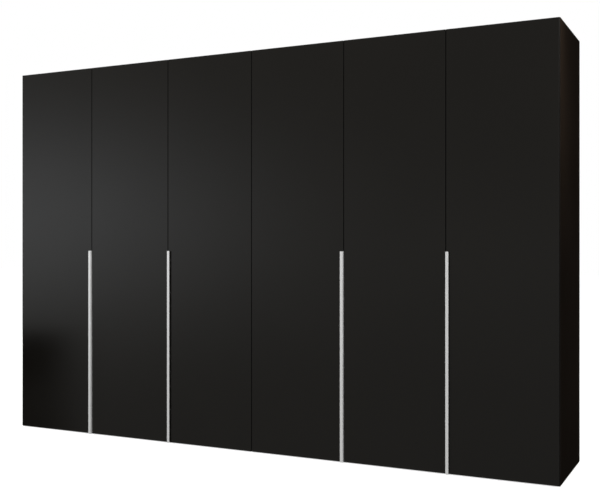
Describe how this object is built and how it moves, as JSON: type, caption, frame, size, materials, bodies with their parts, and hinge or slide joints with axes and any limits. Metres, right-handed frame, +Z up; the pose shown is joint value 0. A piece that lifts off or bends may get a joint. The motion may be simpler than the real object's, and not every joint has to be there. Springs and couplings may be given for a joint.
{
  "type": "wardrobe",
  "caption": "Wide hinged-door wardrobe: equal tall overlay doors, vertical aluminium strip handles on the lower half, and hanging and shelf bays inside.",
  "frame": {"origin": "on the floor, at the middle of the overall box with the doors closed", "axes": "+X to the right as one faces the doors, -Y is the doors' side, +Z up"},
  "size_m": [3, 0.541, 2.01],
  "materials": {
    "door_laminate": "satin charcoal laminate on chipboard",
    "carcass_laminate": "satin brown-black laminate on chipboard",
    "back_board": "matte printed hardboard",
    "handle_aluminium": "satin anodised",
    "hinge_steel": "nickel-plated steel",
    "rail_steel": "satin chrome-plated tube"
  },
  "bodies": {
    "carcass": {"side_panel_left": "carcass_laminate", "side_panel_right": "carcass_laminate", "partition_left": "carcass_laminate", "partition_centre": "carcass_laminate", "partition_right": "carcass_laminate", "bottom_panel_1": "carcass_laminate", "top_panel_1": "carcass_laminate", "plinth_board_1": "carcass_laminate", "back_panel_1": "back_board", "hat_shelf_1": "carcass_laminate", "hanging_rail_1": "rail_steel", "bottom_panel_2": "carcass_laminate", "top_panel_2": "carcass_laminate", "plinth_board_2": "carcass_laminate", "back_panel_2": "back_board", "shelf_2_1": "carcass_laminate", "shelf_2_2": "carcass_laminate", "shelf_2_3": "carcass_laminate", "bottom_panel_3": "carcass_laminate", "top_panel_3": "carcass_laminate", "plinth_board_3": "carcass_laminate", "back_panel_3": "back_board", "shelf_3_1": "carcass_laminate", "shelf_3_2": "carcass_laminate", "shelf_3_3": "carcass_laminate", "bottom_panel_4": "carcass_laminate", "top_panel_4": "carcass_laminate", "plinth_board_4": "carcass_laminate", "back_panel_4": "back_board", "hat_shelf_4": "carcass_laminate", "hanging_rail_4": "rail_steel", "door_1_hinge_arm": "hinge_steel", "door_2_hinge_arm": "hinge_steel", "door_3_hinge_arm": "hinge_steel", "door_4_hinge_arm": "hinge_steel", "door_5_hinge_arm": "hinge_steel", "door_6_hinge_arm": "hinge_steel"},
    "door_1_hinge_link": {"door_1_hinge_link": "hinge_steel"},
    "door_2_hinge_link": {"door_2_hinge_link": "hinge_steel"},
    "door_3_hinge_link": {"door_3_hinge_link": "hinge_steel"},
    "door_4_hinge_link": {"door_4_hinge_link": "hinge_steel"},
    "door_5_hinge_link": {"door_5_hinge_link": "hinge_steel"},
    "door_6_hinge_link": {"door_6_hinge_link": "hinge_steel"},
    "door_1": {"door_1": "door_laminate", "door_1_handle": "handle_aluminium", "door_1_hinge_cup": "hinge_steel"},
    "door_2": {"door_2": "door_laminate", "door_2_hinge_cup": "hinge_steel"},
    "door_3": {"door_3": "door_laminate", "door_3_handle": "handle_aluminium", "door_3_hinge_cup": "hinge_steel"},
    "door_4": {"door_4": "door_laminate", "door_4_handle": "handle_aluminium", "door_4_hinge_cup": "hinge_steel"},
    "door_5": {"door_5": "door_laminate", "door_5_hinge_cup": "hinge_steel"},
    "door_6": {"door_6": "door_laminate", "door_6_handle": "handle_aluminium", "door_6_hinge_cup": "hinge_steel"}
  },
  "joints": [
    {"name": "door_1_swing", "type": "hinge", "parent": "door_1_hinge_link", "child": "door_1", "pos_m": [-1.4875, -0.2455, 1], "axis": [0, 0, -1], "range_deg": [0, 152]},
    {"name": "door_1_link_turn", "type": "hinge", "parent": "carcass", "child": "door_1_hinge_link", "pos_m": [-1.4717, -0.2355, 1], "axis": [0, 0, 1], "range_deg": [0, 57]},
    {"name": "door_2_swing", "type": "hinge", "parent": "door_2_hinge_link", "child": "door_2", "pos_m": [-0.5125, -0.2455, 1], "axis": [0, 0, 1], "range_deg": [0, 152]},
    {"name": "door_2_link_turn", "type": "hinge", "parent": "carcass", "child": "door_2_hinge_link", "pos_m": [-0.5283, -0.2355, 1], "axis": [0, 0, -1], "range_deg": [0, 57]},
    {"name": "door_3_swing", "type": "hinge", "parent": "door_3_hinge_link", "child": "door_3", "pos_m": [-0.0125, -0.2455, 1], "axis": [0, 0, 1], "range_deg": [0, 144]},
    {"name": "door_3_link_turn", "type": "hinge", "parent": "carcass", "child": "door_3_hinge_link", "pos_m": [-0.0283, -0.2355, 1], "axis": [0, 0, -1], "range_deg": [0, 54]},
    {"name": "door_4_swing", "type": "hinge", "parent": "door_4_hinge_link", "child": "door_4", "pos_m": [0.0125, -0.2455, 1], "axis": [0, 0, -1], "range_deg": [0, 144]},
    {"name": "door_4_link_turn", "type": "hinge", "parent": "carcass", "child": "door_4_hinge_link", "pos_m": [0.0283, -0.2355, 1], "axis": [0, 0, 1], "range_deg": [0, 54]},
    {"name": "door_5_swing", "type": "hinge", "parent": "door_5_hinge_link", "child": "door_5", "pos_m": [0.5125, -0.2455, 1], "axis": [0, 0, -1], "range_deg": [0, 152]},
    {"name": "door_5_link_turn", "type": "hinge", "parent": "carcass", "child": "door_5_hinge_link", "pos_m": [0.5283, -0.2355, 1], "axis": [0, 0, 1], "range_deg": [0, 57]},
    {"name": "door_6_swing", "type": "hinge", "parent": "door_6_hinge_link", "child": "door_6", "pos_m": [1.4875, -0.2455, 1], "axis": [0, 0, 1], "range_deg": [0, 152]},
    {"name": "door_6_link_turn", "type": "hinge", "parent": "carcass", "child": "door_6_hinge_link", "pos_m": [1.4717, -0.2355, 1], "axis": [0, 0, -1], "range_deg": [0, 57]}
  ],
  "couplings": [
    {"joint": "door_1_link_turn", "follows": "door_1_swing", "ratio": 0.375},
    {"joint": "door_2_link_turn", "follows": "door_2_swing", "ratio": 0.375},
    {"joint": "door_3_link_turn", "follows": "door_3_swing", "ratio": 0.375},
    {"joint": "door_4_link_turn", "follows": "door_4_swing", "ratio": 0.375},
    {"joint": "door_5_link_turn", "follows": "door_5_swing", "ratio": 0.375},
    {"joint": "door_6_link_turn", "follows": "door_6_swing", "ratio": 0.375}
  ]
}
